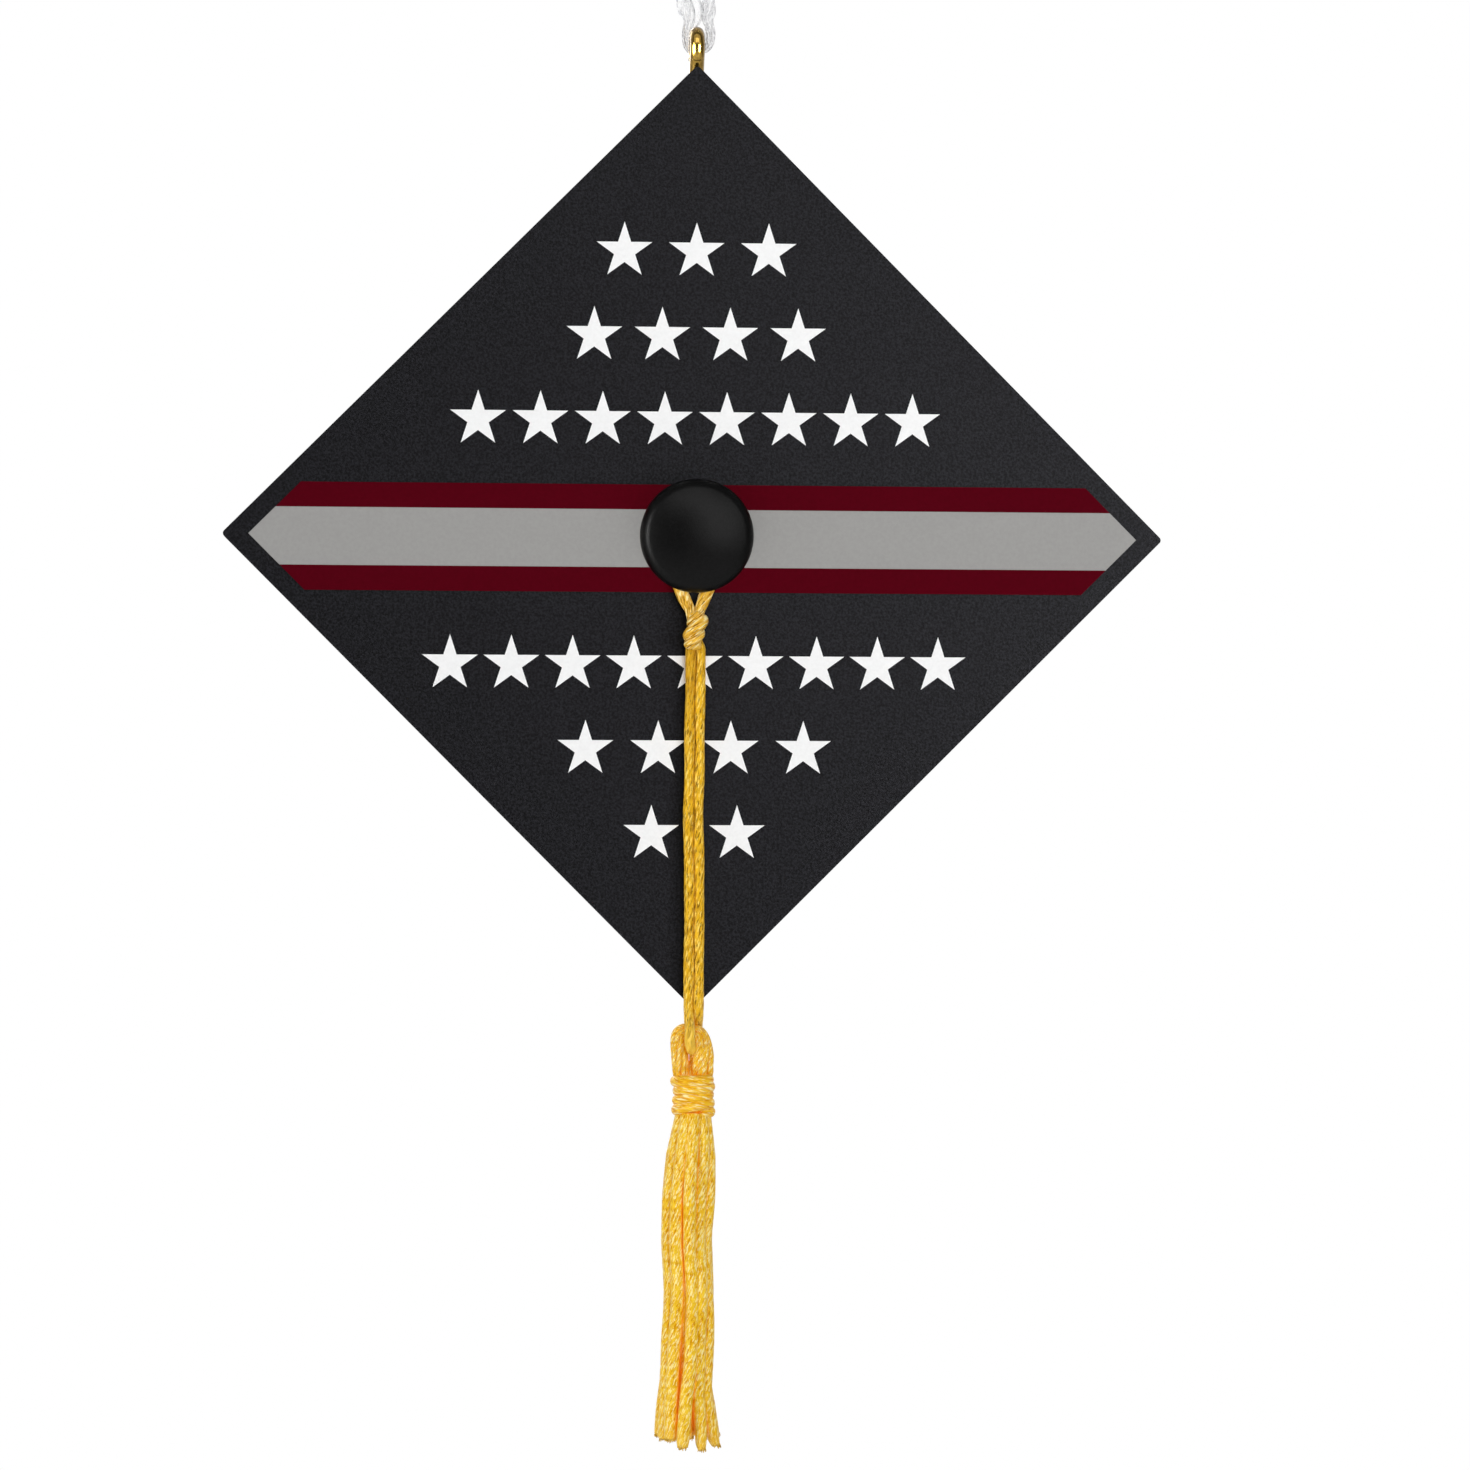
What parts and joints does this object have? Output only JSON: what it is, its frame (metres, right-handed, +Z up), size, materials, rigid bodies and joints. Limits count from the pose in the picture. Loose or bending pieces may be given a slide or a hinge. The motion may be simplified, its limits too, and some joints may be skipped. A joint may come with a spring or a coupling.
{
  "type": "graduation cap ornament",
  "caption": "Hanging ornament shaped like a graduation cap: square board hung on one corner, round button, hollow crown, twisted gold cord with tassel, brass eye and ribbon loop.",
  "frame": {"origin": "centre of the hole of the brass eye at the board's top corner, in the board's middle plane", "axes": "+Z up towards the ribbon, along the board's diagonal; the printed face looks along -Y; +X to the right as seen from the front, along the axis of the eye's hole"},
  "size_m": [0.0944, 0.0258, 0.2037],
  "materials": {
    "board_black": "matte black, very fine grain",
    "crown_black": "matte black, very fine grain",
    "button_black": "satin black",
    "ink_grey": "flat printed ink",
    "ink_maroon": "flat printed ink",
    "ink_white": "flat printed ink",
    "brass": "polished brass wire",
    "steel": "zinc plated",
    "gold_cord": "twisted rayon cord, silky",
    "gold_yarn": "twisted rayon yarn, silky",
    "ribbon_white": "sheer organza"
  },
  "bodies": {
    "cap": {"board": "board_black", "crown": "crown_black", "button": "button_black", "button_screw": "steel", "screw_washer": "steel", "screw_eye": "brass", "print_band_grey": "ink_grey", "print_band_maroon": "ink_maroon", "print_stars_upper": "ink_white", "print_stars_lower": "ink_white"},
    "loop": {"cord_loop": "gold_cord"},
    "cord": {"cord_knot": "gold_cord", "cord_left": "gold_cord", "cord_right": "gold_cord"},
    "bight": {"cord_bight": "gold_cord"},
    "tassel": {"tassel_fold": "gold_yarn", "tassel_binding": "gold_cord", "skirt_core_strand": "gold_yarn", "skirt_inner_strands": "gold_yarn", "skirt_outer_strands": "gold_yarn"},
    "ribbon": {"ribbon_loop": "ribbon_white", "ribbon_knot": "ribbon_white", "ribbon_tails": "ribbon_white"}
  },
  "joints": [
    {"name": "cord_turn", "type": "hinge", "parent": "cap", "child": "loop", "pos_m": [0, 0, -0.04931], "axis": [0, 1, 0], "range_deg": [-120, 120]},
    {"name": "cord_lift", "type": "hinge", "parent": "loop", "child": "cord", "pos_m": [0, -0.0029, -0.05771], "axis": [-1, 0, 0], "range_deg": [0, 80]},
    {"name": "tassel_tilt", "type": "hinge", "parent": "cord", "child": "bight", "pos_m": [0, -0.00222, -0.09946], "axis": [-1, 0, 0], "range_deg": [-80, 80]},
    {"name": "tassel_swing", "type": "hinge", "parent": "bight", "child": "tassel", "pos_m": [0, -0.00222, -0.10093], "axis": [0, 1, 0], "range_deg": [-60, 60]},
    {"name": "ribbon_tilt", "type": "hinge", "parent": "cap", "child": "ribbon", "pos_m": [0, 0, 0], "axis": [1, 0, 0], "range_deg": [-90, 90]}
  ]
}
